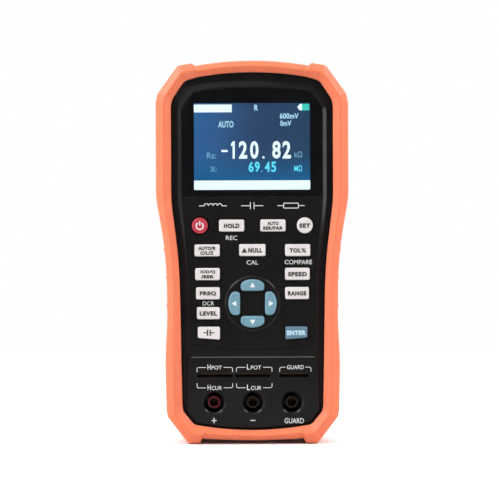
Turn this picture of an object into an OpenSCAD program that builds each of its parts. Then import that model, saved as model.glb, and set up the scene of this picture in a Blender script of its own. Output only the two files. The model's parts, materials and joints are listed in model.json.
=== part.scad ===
// Handheld LCR meter: two-part case in a rubber boot, colour display, 18 keys,
// component test slots, three 4 mm sockets and a folding tilt stand.
// The meter stands on its lower end. +Z is up its length, the display faces -Y.

/* [Overall size] */
// Height over the boot
body_h = 188; // [184:1:192]
// Width over the boot at the display
body_w = 94.6; // [93:0.2:97]
// Depth over the boot, front crest to back crest
body_d = 42; // [41:0.5:46]

/* [Case] */
// Wall thickness behind the flat front face
wall = 2.5; // [2.2:0.1:2.8]
// How far the front and back faces lie below the boot's crests
sunk = 2.5; // [2.2:0.1:3]
// Height of the round platform under the arrow keys
platform_h = 0.7; // [0.4:0.1:1]

/* [Display] */
// Width of the lit display area
view_w = 57.6; // [56:0.2:58]
// Height of the lit display area
view_h = 43.2; // [42:0.2:44]
// Height of the display's middle above the base
view_z = 145.8; // [145:0.1:146.5]
// Thickness of the window
window_t = 1.3; // [1:0.1:1.5]

/* [Keys] */
// How far a key stands above the front face
key_proud = 1.1; // [0.8:0.1:1.4]
// Travel of a key
key_travel = 0.9; // [0.6:0.1:1]
// Gap round a key in its hole
key_gap = 0.25; // [0.15:0.05:0.35]

/* [Sockets and test slots] */
// Distance between neighbouring socket centres
socket_pitch = 19.05; // [18.8:0.05:19.3]
// Height of the socket centres above the base
socket_z = 20.4; // [20:0.1:21]
// Bore radius of a socket sleeve
socket_r = 2.05; // [2:0.01:2.1]
// Height of the test slots above the base
slot_z = 33.5; // [33:0.1:34]
// Width of the gap in a test slot
slot_gap = 1.8; // [1.4:0.1:2]

/* [Tilt stand] */
// Width of the stand
stand_w = 50; // [46:1:50]
// Height of the stand's hinge above the base
hinge_z = 119.5; // [118:0.5:121]
// Thickness of the stand
stand_t = 4; // [3.6:0.1:4]

/* [Hidden] */
$fn = 64;

KEY_NODES = [
    "key_power", "key_hold", "key_mode", "key_set", "key_function", "key_null",
    "key_tolerance", "key_parameter", "key_speed", "key_frequency", "key_range",
    "key_level", "key_fixture", "key_enter", "key_up", "key_right", "key_down", "key_left"
];

// Levels along the depth, from the front crest of the boot to its back crest.
crest_y = body_d / 2;
face_y = -crest_y + sunk;          // flat front face
inner_y = face_y + wall;           // its inner side
shoulder_y = face_y + 2.6;         // ledge of the front case under the boot's lip
step_y = face_y + 5.1;             // where the cavity widens behind the shoulder
board_y = face_y + 6.7;            // front side of the circuit board
board_t = 1.6;
back_y = crest_y - sunk;           // flat back face
back_shoulder_y = back_y - 2.4;
back_step_y = back_y - 4.8;
recess_y = back_y - 3.2;           // floor of the recess that holds the stand
gap = 0.1;                         // clearance between fitted parts
far = 50;                          // beyond the meter, for cuts

orange = [0.96, 0.42, 0.24];
black = [0.08, 0.08, 0.09];
ivory = [0.9, 0.88, 0.86];
blue = [0.42, 0.6, 0.68];
red = [0.8, 0.18, 0.25];

// ---- Outlines, seen from the front, as [x, z] points ----

// Points from the middle of an end edge towards its corner, without the last one.
function bowed(mid_z, end, n) = [
    for (i = [0:n - 1]) [end[0] * i / n, mid_z + (end[1] - mid_z) * pow(i / n, 2)]
];

function bezier(p, n, first) = [
    for (i = [first:n]) let (t = i / n, s = 1 - t)
        s * s * s * p[0] + 3 * s * s * t * p[1] + 3 * s * t * t * p[2] + t * t * t * p[3]
];

function backwards(list) = [for (i = [len(list) - 1:-1:0]) list[i]];

// The full outline from its right half: the bowed top edge, its corner, the waisted
// side as two curves, the lower corner and the bowed bottom edge.
function outline(top_z, upper, side, waist, lower, bottom_z) =
    let (
        right = concat(
            bowed(top_z, upper[0], 6), upper, bezier(side, 8, 0), bezier(waist, 4, 1), lower,
            backwards(bowed(bottom_z, lower[len(lower) - 1], 5))
        ),
        left = [for (i = [len(right) - 2:-1:1]) [-right[i][0], right[i][1]]]
    )
    [for (p = concat(right, left)) [p[0] * body_w / 94.6, p[1] * body_h / 188]];

// Outer edge of the boot, with its raised corner pads.
rim = outline(
    188, [[28, 185.5], [29, 186.85], [35.8, 185.8], [36.9, 185], [46.3, 171.8], [47.3, 167.5]],
    [[47.3, 124], [47.3, 114], [41.8, 102], [42, 70]],
    [[42, 70], [41.6, 56], [42.9, 50], [42.9, 36]],
    [[42.5, 16.5], [41.9, 13.2], [33.9, 2.8], [31.4, 0], [26, 0], [25, 2.6]], 1.7
);
// Edge of the boot's opening.
opening = outline(
    182.2, [[26, 180], [27, 179.8], [32.3, 178.2], [33.6, 177.2], [38.9, 169.2], [39.7, 166]],
    [[39.7, 124], [39.7, 112], [36, 100], [35.5, 74]],
    [[35.5, 74], [35.2, 60], [35.1, 54], [35, 42]],
    [[34.5, 18.5], [34, 16], [29.4, 10.3], [28.2, 9.4], [24.5, 8.8], [23.5, 8.65]], 6.8
);
// Edge of the flat front face, inside its bevel.
flat = outline(
    175.2, [[22.5, 173.9], [23.5, 173.8], [28, 172.9], [29.2, 172.2], [33.8, 166.6], [34.7, 164]],
    [[34.7, 124], [34.7, 112], [31.9, 100], [31.5, 74]],
    [[31.5, 74], [31.3, 60], [31.2, 54], [31.1, 42]],
    [[32.3, 18.5], [32, 16.6], [28.2, 11.6], [27.2, 10.9], [23, 10], [21.5, 9.9]], 8.4
);

function mix(a, b, t) = [for (i = [0:len(a) - 1]) a[i] + (b[i] - a[i]) * t];
function band(t) = mix(rim, opening, t);    // 0 at the boot's edge, 1 at its opening
case_line = band(0.5);
case_fit = 0.487;                           // the boot's inside, just clear of the case
cavity_line = band(0.83);
raised_line = band(1.04);
bevel_line = mix(flat, raised_line, 0.44);     // foot of the bevel round the flat front
bevel_d = 1.2;
inner_line = mix(opening, flat, 0.7);
window_line = mix(opening, flat, 1.06);
window_seat = mix(opening, flat, 1.03);
window_base_z = view_z - 24.8;

// Half width of the boot at height z, along its waisted side.
function rim_x(z) = lookup(z, [for (p = rim) if (p[0] > 0 && p[1] > 20 && p[1] < 166) [p[1], p[0]]]);

// ---- Solids made from outlines ----

// An [x, z] outline as a plate from depth y0 to y1.
module plate(line, y0, y1) {
    translate([0, y1, 0]) rotate([90, 0, 0]) linear_extrude(height = y1 - y0) polygon(line);
}

module rod(x, z, r, y0, y1) {
    translate([x, y1, z]) rotate([90, 0, 0]) cylinder(r = r, h = y1 - y0);
}

// A cone about a line along Y, of radius r0 at depth y0 and r1 at y1.
module cone(x, z, r0, r1, y0, y1) {
    translate([x, y1, z]) rotate([90, 0, 0]) cylinder(r1 = r1, r2 = r0, h = y1 - y0);
}

module block(low, high) {
    translate(low) cube(high - low);
}

function ring(line, y) = [for (p = line) [p[0], y, p[1]]];

// Two triangles for each step round the gap between ring a and ring b.
function wall_faces(a, b, n) = [
    for (i = [0:n - 1]) let (j = (i + 1) % n)
        each [[a * n + i, b * n + i, b * n + j], [a * n + i, b * n + j, a * n + j]]
];

// A closed tube through [outline, y] rings, the last of which joins the first.
module ring_tube(rings) {
    n = len(rings[0][0]);
    m = len(rings);
    polyhedron(
        points = [for (r = rings) each ring(r[0], r[1])],
        faces = [for (k = [0:m - 1]) each wall_faces(k, (k + 1) % m, n)]
    );
}

// A solid through [outline, y] rings, front to back.
module loft(rings) {
    n = len(rings[0][0]);
    m = len(rings);
    polyhedron(
        points = [for (r = rings) each ring(r[0], r[1])],
        faces = concat(
            [[for (i = [0:n - 1]) i]],
            [for (k = [0:m - 2]) each wall_faces(k, k + 1, n)],
            [[for (i = [n - 1:-1:0]) (m - 1) * n + i]]
        )
    );
}

// A rectangle with round corners, as [x, z] points about its centre.
function rounded(w, h, r) = [
    for (c = [[1, 1, 0], [-1, 1, 90], [-1, -1, 180], [1, -1, 270]], a = [0:18:90])
        [c[0] * (w / 2 - r) + r * cos(c[2] + a), c[1] * (h / 2 - r) + r * sin(c[2] + a)]
];

function moved(line, x, z) = [for (p = line) [p[0] + x, p[1] + z]];

// ---- Keys ----

pad_z = 68.9;        // centre of the arrow keys
pad_r = 13.6;
pad_slope = 0.8;     // how much the platform narrows towards its top
stem_r = 1.8;
key_corner = 0.7;
flange_grow = 0.9;
flange_t = 0.9;
// Kind, centre x, centre z, width, height (or the turn of a petal) and colour,
// in the order of KEY_NODES.
KEYS = [
    ["round", -25.7, 107, 7.8, 7.8, red],
    ["bar", -10.1, 107, 12.3, 5.8, ivory],
    ["bar", 10.1, 107, 12.3, 5.8, ivory],
    ["round", 25.7, 107, 7.8, 7.8, ivory],
    ["bar", -22.15, 94.9, 12.3, 5.8, ivory],
    ["bar", 0, 95, 12.9, 5.8, ivory],
    ["bar", 22.15, 94.9, 12.3, 5.8, ivory],
    ["bar", -22, 83.3, 12, 5.9, ivory],
    ["bar", 22, 83.3, 12, 5.9, ivory],
    ["bar", -21.8, 73.9, 11.6, 5.9, ivory],
    ["bar", 21.8, 73.9, 11.6, 5.9, ivory],
    ["bar", -21.6, 64.2, 11.2, 5.9, ivory],
    ["wedge", -21.4, 54.6, 10.8, 5.9, ivory],
    ["wedge", 21.4, 54.6, 10.8, 5.9, blue],
    ["petal", 0, pad_z, 0, 0, blue],
    ["petal", 0, pad_z, 0, -90, blue],
    ["petal", 0, pad_z, 0, 180, blue],
    ["petal", 0, pad_z, 0, 90, blue]
];

// An arrow key at the top of the pad: a flat inner side and a bulging outer one.
petal_in = 6.1;      // its inner side, from the middle of the pad
petal_mid = 8.65;    // centre of the bulge
petal_a = 5.8;       // half width
petal_b = 3.2;       // depth of the bulge
petal_r = 1.6;       // radius of its two inner corners
function petal_corner(side, first, grow) = [
    for (a = [first:18:first + 90]) [
        side * (petal_a - petal_r) + (petal_r + grow) * cos(a),
        petal_in + petal_r + (petal_r + grow) * sin(a)
    ]
];
function petal(grow) = concat(
    [for (a = [0:12:180]) [(petal_a + grow) * cos(a), petal_mid + (petal_b + grow) * sin(a)]],
    petal_corner(-1, 180, grow),
    petal_corner(1, 270, grow)
);
function turned(line, angle) = [
    for (p = line) [p[0] * cos(angle) - p[1] * sin(angle), p[0] * sin(angle) + p[1] * cos(angle)]
];

// The lowest keys are deeper on the side towards the middle of the face.
wedge_slope = 0.028;
function wedge(line, side) = [
    for (p = line) [p[0], p[1] < 0 ? p[1] * (1 - wedge_slope * side * p[0]) : p[1]]
];

function key_line(k, grow) =
    k[0] == "petal" ? moved(turned(petal(grow), k[4]), k[1], k[2]) :
    let (box = rounded(k[3] + 2 * grow, k[4] + 2 * grow, key_corner + grow))
    moved(k[0] == "wedge" ? wedge(box, sign(k[1])) : box, k[1], k[2]);

module key_prism(k, grow, y0, y1) {
    if (k[0] == "round") rod(k[1], k[2], k[3] / 2 + grow, y0, y1);
    else plate(key_line(k, grow), y0, y1);
}

// Where a key's stem stands, in the middle of its cap.
function stem_at(k) = k[0] == "petal" ? [k[1], k[2]] + turned([[0, petal_mid]], k[4])[0] : [k[1], k[2]];

module key(k) {
    lift = k[0] == "petal" ? platform_h : 0;
    top_y = face_y - key_proud - lift;
    flange_y = inner_y + gap;
    stem = stem_at(k);
    color(k[5]) union() {
        key_prism(k, -0.25, top_y, top_y + 1);
        key_prism(k, 0, top_y + 0.3, flange_y + flange_t);
        key_prism(k, flange_grow, flange_y, flange_y + flange_t);
        rod(stem[0], stem[1], stem_r, flange_y, flange_y + flange_t + 0.5);
    }
}

// ---- Boot and case ----

rib_z = [94, 80.2, 66.4];    // grip ribs on each side
rib_r = 1.7;
rib_proud = 0.75;
port_z = 140;
port_y = board_y + board_t + 2;
port_half = [1.95, 3.9];             // half size of the USB socket, along y and z
port_hole = [2.7, 4.6];              // of its hole in the case
port_window = [4.5, 6.5];            // of the window in the boot

// A cut along X about the middle of the USB socket, half its size along y and z.
module port_cut(x0, x1, half) {
    block([x0, port_y - half[0], port_z - half[1]], [x1, port_y + half[0], port_z + half[1]]);
}

module boot() {
    color(orange) difference() {
        union() {
            ring_tube([
                [band(0.42), -crest_y], [band(0.14), -crest_y + 1.4], [band(0.03), -crest_y + 4],
                [rim, -crest_y + 7.5], [rim, crest_y - 7.5], [band(0.04), crest_y - 3.5],
                [band(0.16), crest_y - 0.8], [band(0.32), crest_y], [band(0.62), crest_y],
                [opening, crest_y - 1.6], [opening, back_shoulder_y + gap],
                [band(case_fit), back_shoulder_y + gap], [band(case_fit), shoulder_y - gap],
                [opening, shoulder_y - gap], [opening, -crest_y + 2.2], [band(0.58), -crest_y]
            ]);
            for (side = [-1, 1], z = rib_z)
                rod(side * (rim_x(z) + rib_proud - rib_r), z, rib_r, -crest_y + 10, crest_y - 10);
        }
        port_cut(body_w / 2 - 7, body_w / 2 + 2, port_window);
    }
}

// Screw places: [x, z] on the right, mirrored to the left.
case_screw_at = [[30.5, 174.3], [29, 17.5]];
board_screw_at = [[33, 117], [31.5, 44.8]];
case_boss_r = 3.3;
case_screw_r = 1.5;
case_head_r = 2.8;
board_boss_r = 2.4;
board_screw_r = 0.85;
shroud_r = 4.9;              // hole round a socket, which takes a shrouded plug
shroud_wall = 1.4;
shroud_end_y = 1.5;
insulator_r = 3.1;
socket_x = [-socket_pitch, 0, socket_pitch];
// First and last x of each test slot.
slots = [[-26.9, -10.1], [-8.4, 8.4], [13.1, 27.3]];

module slot_prisms(grow, y0, y1) {
    half = slot_gap / 2 + grow;
    for (s = slots) block([s[0] - grow, y0, slot_z - half], [s[1] + grow, y1, slot_z + half]);
}

module mirrored_rods(places, r, y0, y1) {
    for (side = [-1, 1], p = places) rod(side * p[0], p[1], r, y0, y1);
}

module front_shell() {
    difference() {
        union() {
            plate(case_line, shoulder_y, 0);
            loft([
                [flat, face_y], [bevel_line, face_y + bevel_d], [raised_line, face_y + bevel_d + 0.4],
                [raised_line, shoulder_y + 0.4]
            ]);
            cone(0, pad_z, pad_r - pad_slope, pad_r, face_y - platform_h, face_y + 0.5);
        }
        plate(cavity_line, step_y, 1);
        plate(inner_line, inner_y, step_y + 1);
    }
}

// Curved groove between the keys and the terminals: half length, lowest height, rise and width.
groove_x = 29.5;
groove_z = 46;
groove_rise = 2.6;
groove_w = 0.5;
groove_arc = [for (t = [-1:0.1:1]) [groove_x * t, groove_z + groove_rise * t * t]];
groove = concat(groove_arc, [for (p = backwards(groove_arc)) [p[0], p[1] + groove_w]]);

module front_body() {
    union() {
        front_shell();
        mirrored_rods(case_screw_at, case_boss_r, inner_y - 0.5, 0);
        mirrored_rods(board_screw_at, board_boss_r, inner_y - 0.5, board_y - 0.05);
        for (x = socket_x) rod(x, socket_z, shroud_r + shroud_wall, inner_y - 0.5, shroud_end_y);
    }
}

module drilled_front() {
    difference() {
        difference() {
            front_body();
            for (k = KEYS) key_prism(k, key_gap, face_y - platform_h - 1, inner_y + 1);
        }
        for (x = socket_x) {
            rod(x, socket_z, shroud_r, face_y - 1, shroud_end_y - 1.5);
            rod(x, socket_z, insulator_r + 0.05, face_y - 1, shroud_end_y + 1);
            cone(x, socket_z, shroud_r + 0.9, shroud_r - 0.1, face_y - 0.1, face_y + 0.9);
        }
        mirrored_rods(case_screw_at, case_screw_r + 0.05, inner_y + 3, 1);
        mirrored_rods(board_screw_at, board_screw_r + 0.05, inner_y + 1, board_y + 1);
    }
}

module front_case() {
    color(black) difference() {
        drilled_front();
        slot_prisms(0, face_y - 1, inner_y + 1);
        // window seat and the hole behind it
        intersection() {
            plate(window_seat, face_y - 1, face_y + window_t + 0.05);
            block([-far, -far, window_base_z - 0.15], [far, far, body_h]);
        }
        block(
            [-view_w / 2 - 1.7, -far, view_z - view_h / 2 - 1.3],
            [view_w / 2 + 1.7, inner_y + 1, view_z + view_h / 2 + 1.2]
        );
        plate(groove, face_y - 1, face_y + 0.35);
        port_cut(body_w / 2 - 12, body_w / 2 + 2, port_hole);
    }
}

stand_low_z = 21;
stand_y = back_y - 3;                    // inner side of the stand
hinge_y = stand_y + stand_t / 2;
trunnion_r = 1.6;
recess_x = stand_w / 2 + 0.3;
lug_w = 5;
notch_x = 9;                             // finger notch below the stand's foot, half width
bay_x = 23.5;                            // battery bay, half width
bay_z = [31, 98];
bay_floor_y = -1.5;
bay_wall = 1.5;
cover_z = [22.5, 97.5];
cover_x = 22.5;
cover_screw_z = 26;
cover_screw_r = 1;
cover_head_r = 2.2;
cover_t = 1.4;
contact_x = 8;                           // middle of each battery contact

module rear_shell() {
    difference() {
        union() {
            plate(case_line, 0.05, back_shoulder_y);
            plate(raised_line, back_shoulder_y - 0.5, back_y);
        }
        plate(cavity_line, -1, back_step_y);
        plate(band(1.15), -1, back_y - wall);
    }
}

module rear_case() {
    color(black) difference() {
        union() {
            rear_shell();
            mirrored_rods(case_screw_at, case_boss_r, 0.05, back_y - wall + 0.5);
            // floor of the stand's recess, the hinge lugs and the battery bay
            block([-recess_x - 2, recess_y - wall, 17.5], [recess_x + 2, back_y - 1, hinge_z + 4.5]);
            for (side = [-1, 1])
                translate([side * (recess_x + lug_w / 2), 0, hinge_z])
                    block([-lug_w / 2, recess_y - wall, -4], [lug_w / 2, stand_y + stand_t, 4]);
            block(
                [-bay_x - bay_wall, bay_floor_y - bay_wall, bay_z[0] - bay_wall],
                [bay_x + bay_wall, recess_y, bay_z[1] + bay_wall]
            );
            rod(0, cover_screw_z, 3, 4, recess_y - 1);
        }
        // recess of the stand, battery bay, its opening and the seat of its cover
        block([-recess_x, recess_y, stand_low_z - 0.6], [recess_x, far, hinge_z + stand_t / 2 + 0.5]);
        block([-bay_x, bay_floor_y, bay_z[0]], [bay_x, recess_y - wall + 0.01, bay_z[1]]);
        block([-cover_x + 1, 0, bay_z[0] + 2], [cover_x - 1, far, cover_z[1] - 1.5]);
        block(
            [-cover_x - 0.15, recess_y - cover_t - 0.1, cover_z[0] - 0.15],
            [cover_x + 0.15, far, cover_z[1] + 0.15]
        );
        block([-notch_x, back_y - 2, stand_low_z - 6], [notch_x, far, stand_low_z]);
        for (side = [-1, 1]) {
            translate([side * recess_x, hinge_y, hinge_z]) rotate([0, 90, 0])
                cylinder(r = trunnion_r + 0.05, h = 6.6, center = true);
            // passages of the battery contacts
            block(
                [side * contact_x - 2.6, 2, bay_z[1] - 0.5],
                [side * contact_x + 2.6, 2.6, bay_z[1] + bay_wall + 1]
            );
        }
        mirrored_rods(case_screw_at, case_screw_r + 0.2, -1, far);
        mirrored_rods(case_screw_at, case_head_r + 0.3, back_y - 2.2, far);
        rod(0, cover_screw_z, cover_screw_r + 0.05, 6, far);
    }
}

module case_screws() {
    color("silver") for (side = [-1, 1], p = case_screw_at) difference() {
        union() {
            rod(side * p[0], p[1], case_screw_r, -10, back_y - 2);
            rod(side * p[0], p[1], case_head_r, back_y - 2.1, back_y - 0.5);
        }
        cross_slot(side * p[0], p[1], 1.7, 0.45, back_y - 1.4, back_y);
    }
}

// A cross recess in a screw head.
module cross_slot(x, z, reach, half, y0, y1) {
    block([x - reach, y0, z - half], [x + reach, y1, z + half]);
    block([x - half, y0, z - reach], [x + half, y1, z + reach]);
}

// ---- Display ----

module window() {
    color([0.1, 0.12, 0.14, 0.5]) intersection() {
        plate(window_line, face_y, face_y + window_t);
        block([-far, -far, window_base_z], [far, far, body_h]);
    }
}

panel_w = 65;
panel_h = 47;
panel_y = [inner_y + 0.8, inner_y + 3];
tray_t = 0.5;

// A rectangular frame about the middle of the display.
module frame(outer, hole, y0, y1) {
    difference() {
        block([-outer[0] / 2, y0, view_z - outer[1] / 2], [outer[0] / 2, y1, view_z + outer[1] / 2]);
        block([-hole[0] / 2, y0 - 1, view_z - hole[1] / 2], [hole[0] / 2, y1 + 1, view_z + hole[1] / 2]);
    }
}

module display_gasket() {
    color([0.05, 0.05, 0.05])
        frame([panel_w, panel_h], [view_w + 0.4, view_h + 0.4], inner_y + 0.05, panel_y[0] - 0.05);
}

module display_panel() {
    color([0.2, 0.4, 0.6]) block(
        [-panel_w / 2, panel_y[0], view_z - panel_h / 2],
        [panel_w / 2, panel_y[1], view_z + panel_h / 2]
    );
}

module display_tray() {
    half_w = panel_w / 2 + tray_t + gap;
    half_h = panel_h / 2 + tray_t + gap;
    floor_y = panel_y[1] + 0.05;
    color("silver") union() {
        frame([2 * half_w, 2 * half_h], [panel_w + gap, panel_h + gap], panel_y[0] + 0.6, panel_y[1] + 0.5);
        block([-half_w, floor_y, view_z - half_h], [half_w, floor_y + tray_t, view_z + half_h]);
    }
}

module display_ribbon() {
    ribbon_z = view_z - panel_h / 2 - 0.8;
    color([0.75, 0.5, 0.15]) union() {
        block([-8, board_y - 1.1, ribbon_z - 6], [8, board_y - 0.95, ribbon_z]);
        block([-10, board_y - 1, ribbon_z - 6.5], [10, board_y - 0.05, ribbon_z - 3]);
    }
}

// ---- Circuit board and what it carries ----

module keypad_mat() {
    color([0.16, 0.16, 0.17]) union() {
        plate(moved(rounded(60, 66, 3), 0, 81), board_y - 1.2, board_y - 0.05);
        for (k = KEYS) let (stem = stem_at(k)) rod(stem[0], stem[1], 2.2, board_y - 1.5, board_y - 1);
    }
}

module main_board() {
    color([0.05, 0.3, 0.18]) difference() {
        plate(band(0.955), board_y, board_y + board_t);
        mirrored_rods(case_screw_at, case_boss_r + 0.4, board_y - 1, board_y + 3);
        mirrored_rods(board_screw_at, 1.2, board_y - 1, board_y + 3);
        for (x = socket_x) rod(x, socket_z, shroud_r + shroud_wall + 0.4, board_y - 1, board_y + 3);
        block([-29.9, board_y - 1, slot_z - 4.4], [29.9, board_y + 3, slot_z + 4.4]);
    }
}

back_of_board = board_y + board_t;

// A part standing on the back of the board: centre [x, z], width, height and thickness.
module on_board(at, size, t) {
    block(
        [at[0] - size[0] / 2, back_of_board, at[1] - size[1] / 2],
        [at[0] + size[0] / 2, back_of_board + t, at[1] + size[1] / 2]
    );
}

module processor() {
    color(black) on_board([0, 104], [14, 14], 1.4);
}

module measuring_chips() {
    color(black) for (at = [[-14, 84], [0, 84], [14, 84], [-14, 70]]) on_board(at, [5, 6], 1.5);
}

module shield_can() {
    color("silver") difference() {
        on_board([10, 54], [30, 18], 3.2);
        translate([0, -0.3, 0]) on_board([10, 54], [29.4, 17.4], 3.2);
    }
}

module range_relays() {
    color(ivory) for (z = [46, 54, 62]) on_board([-18, z], [10, 6], 3.5);
}

module buzzer() {
    color(black) difference() {
        rod(-22, 152, 6, back_of_board, back_of_board + 4.5);
        rod(-22, 152, 1, back_of_board + 2, back_of_board + 6);
    }
}

module board_screws() {
    color("silver") for (side = [-1, 1], p = board_screw_at) difference() {
        union() {
            rod(side * p[0], p[1], board_screw_r, inner_y + 1.5, back_of_board + 0.5);
            rod(side * p[0], p[1], 2, back_of_board + 0.02, back_of_board + 1.4);
        }
        cross_slot(side * p[0], p[1], 1.2, 0.3, back_of_board + 0.8, back_of_board + 2);
    }
}

block_end_y = inner_y + 10.5;
contact_gap = 0.5;
contact_t = 0.3;
tail_x = 1.4;        // half width of a contact's tail

module test_slot_block() {
    color([0.12, 0.12, 0.13]) difference() {
        block([-29.4, inner_y + 0.05, slot_z - 3.9], [29.4, block_end_y, slot_z + 3.9]);
        slot_prisms(0.1, inner_y - 1, block_end_y - 1.5);
        for (s = slots)
            translate([(s[0] + s[1]) / 2, 0, slot_z])
                block([-tail_x - 0.2, inner_y, -0.9], [tail_x + 0.2, block_end_y + 1, 0.9]);
    }
}

// Two spring leaves in each slot, with tails through the back of the block.
module test_slot_contacts() {
    color("gold") for (s = slots, side = [-1, 1]) {
        z0 = slot_z + (side > 0 ? contact_gap : -contact_gap - contact_t);
        middle = (s[0] + s[1]) / 2;
        union() {
            block([s[0] + 0.6, inner_y + 1.2, z0], [s[1] - 0.6, block_end_y - 1.6, z0 + contact_t]);
            block(
                [middle - tail_x, block_end_y - 2, z0],
                [middle + tail_x, block_end_y + 2.5, z0 + contact_t]
            );
        }
    }
}

socket_face_y = face_y + 3;
sleeve_floor_y = 2.5;

module socket_insulator(x) {
    difference() {
        union() {
            rod(x, socket_z, insulator_r, socket_face_y, shroud_end_y + 0.5);
            rod(x, socket_z, 4.4, shroud_end_y + 0.05, shroud_end_y + 1.2);
        }
        rod(x, socket_z, socket_r + 0.5, socket_face_y - 1, shroud_end_y + 2);
    }
}

module socket_sleeves() {
    color([0.8, 0.68, 0.4]) for (x = socket_x) difference() {
        union() {
            rod(x, socket_z, socket_r + 0.45, socket_face_y + 0.6, sleeve_floor_y + 1);
            rod(x, socket_z, 0.8, sleeve_floor_y, sleeve_floor_y + 4);
        }
        rod(x, socket_z, socket_r, socket_face_y, sleeve_floor_y);
    }
}

module usb_port() {
    color("silver") difference() {
        port_cut(34.5, body_w / 2 - 4.2, port_half);
        difference() {
            port_cut(36, body_w / 2, port_half - [0.4, 0.4]);
            port_cut(35, body_w / 2 - 5.4, [0.4, 2.4]);
        }
    }
}

// ---- Battery ----

module battery_pack() {
    color([0.15, 0.3, 0.6])
        plate(moved(rounded(46, 64, 2), 0, 64), bay_floor_y + 0.3, recess_y - cover_t - 1.4);
}

module battery_contacts() {
    color("gold") for (side = [-1, 1])
        block(
            [side * contact_x - 2.5, 2.05, bay_z[1] - 1.6],
            [side * contact_x + 2.5, 2.55, bay_z[1] + bay_wall + 3]
        );
}

module battery_cover() {
    color([0.1, 0.1, 0.11]) difference() {
        block([-cover_x, recess_y - cover_t, cover_z[0]], [cover_x, recess_y - 0.05, cover_z[1]]);
        rod(0, cover_screw_z, cover_screw_r + 0.3, recess_y - 3, recess_y + 1);
        cone(0, cover_screw_z, cover_screw_r + 0.3, cover_head_r + 0.15, recess_y - 1.1, recess_y);
        // grip lines
        for (z = [84:3:93]) block([-9, recess_y - 0.4, z], [9, recess_y + 1, z + 1]);
    }
}

module battery_cover_screw() {
    color("silver") difference() {
        union() {
            rod(0, cover_screw_z, cover_screw_r, 6.5, recess_y - 0.2);
            cone(0, cover_screw_z, cover_screw_r, cover_head_r, recess_y - 1.1, recess_y - 0.15);
        }
        cross_slot(0, cover_screw_z, 1.2, 0.3, recess_y - 0.8, recess_y + 1);
    }
}

module rating_label() {
    color("silver") plate(moved(rounded(48, 26, 2), 0, 147), back_y, back_y + 0.25);
}

// ---- Tilt stand ----

pad_x = 20;          // middle of each rubber pad

module tilt_stand() {
    color(black) difference() {
        union() {
            block([-stand_w / 2, stand_y, stand_low_z], [stand_w / 2, stand_y + stand_t, hinge_z]);
            translate([-stand_w / 2, hinge_y, hinge_z]) rotate([0, 90, 0])
                cylinder(r = stand_t / 2, h = stand_w);
            translate([0, hinge_y, hinge_z]) rotate([0, 90, 0])
                cylinder(r = trunnion_r, h = stand_w + 5.6, center = true);
        }
        // hollow of the outer face, the grooves across it and the seats of the pads
        block(
            [-stand_w / 2 + 4, stand_y + stand_t - 0.8, stand_low_z + 14],
            [stand_w / 2 - 4, far, hinge_z - 8]
        );
        for (z = [stand_low_z + 4, stand_low_z + 7, stand_low_z + 10])
            block([-12, stand_y + stand_t - 0.5, z], [12, far, z + 1.2]);
        for (side = [-1, 1])
            block(
                [side * pad_x - 3.05, stand_y + 1, stand_low_z - 1],
                [side * pad_x + 3.05, far, stand_low_z + 3.05]
            );
    }
}

module stand_pads() {
    color([0.2, 0.2, 0.2]) for (side = [-1, 1])
        block(
            [side * pad_x - 3, stand_y + 1.05, stand_low_z - 0.4],
            [side * pad_x + 3, stand_y + stand_t, stand_low_z + 3]
        );
}

boot();
front_case();
rear_case();
window();
display_gasket();
display_panel();
display_tray();
display_ribbon();
keypad_mat();
main_board();
processor();
measuring_chips();
shield_can();
range_relays();
buzzer();
board_screws();
test_slot_block();
test_slot_contacts();
color(red) socket_insulator(socket_x[0]);  // socket_insulator_red
color(black) socket_insulator(socket_x[1]);  // socket_insulator_black
color(black) socket_insulator(socket_x[2]);  // socket_insulator_guard
socket_sleeves();
usb_port();
battery_pack();
battery_contacts();
battery_cover();
battery_cover_screw();
case_screws();
rating_label();
tilt_stand();
stand_pads();
for (i = [0:len(KEYS) - 1])
    key(KEYS[i]);
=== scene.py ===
"""Looks of a handheld LCR meter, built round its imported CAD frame."""
import json
import math

import bmesh
import bpy
import numpy as np
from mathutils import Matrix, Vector
from mathutils.geometry import delaunay_2d_cdt


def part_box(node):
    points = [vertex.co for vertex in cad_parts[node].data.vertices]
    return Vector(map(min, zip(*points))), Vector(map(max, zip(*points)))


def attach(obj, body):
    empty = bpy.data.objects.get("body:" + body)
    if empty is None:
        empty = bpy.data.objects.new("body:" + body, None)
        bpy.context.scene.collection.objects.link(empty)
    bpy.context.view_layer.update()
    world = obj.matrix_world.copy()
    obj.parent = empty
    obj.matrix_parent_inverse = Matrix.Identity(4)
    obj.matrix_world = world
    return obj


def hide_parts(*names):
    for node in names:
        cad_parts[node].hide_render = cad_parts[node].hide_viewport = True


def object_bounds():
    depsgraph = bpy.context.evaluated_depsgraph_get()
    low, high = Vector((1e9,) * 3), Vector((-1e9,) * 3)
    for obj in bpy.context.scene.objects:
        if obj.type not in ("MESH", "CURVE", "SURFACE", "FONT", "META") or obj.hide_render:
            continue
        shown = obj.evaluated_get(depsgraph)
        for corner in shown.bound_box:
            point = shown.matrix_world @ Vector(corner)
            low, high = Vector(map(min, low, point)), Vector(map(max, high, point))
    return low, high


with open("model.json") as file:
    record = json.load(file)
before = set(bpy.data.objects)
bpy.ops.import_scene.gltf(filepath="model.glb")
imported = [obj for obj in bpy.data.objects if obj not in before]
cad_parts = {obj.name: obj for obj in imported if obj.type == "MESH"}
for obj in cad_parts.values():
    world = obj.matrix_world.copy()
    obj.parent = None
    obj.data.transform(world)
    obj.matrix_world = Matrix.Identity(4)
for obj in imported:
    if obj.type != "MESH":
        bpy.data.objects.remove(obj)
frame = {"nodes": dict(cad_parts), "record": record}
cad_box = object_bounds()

# Shapes are written in millimetres, and made in metres.
MM = 0.001
ROOT = "meter"


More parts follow.
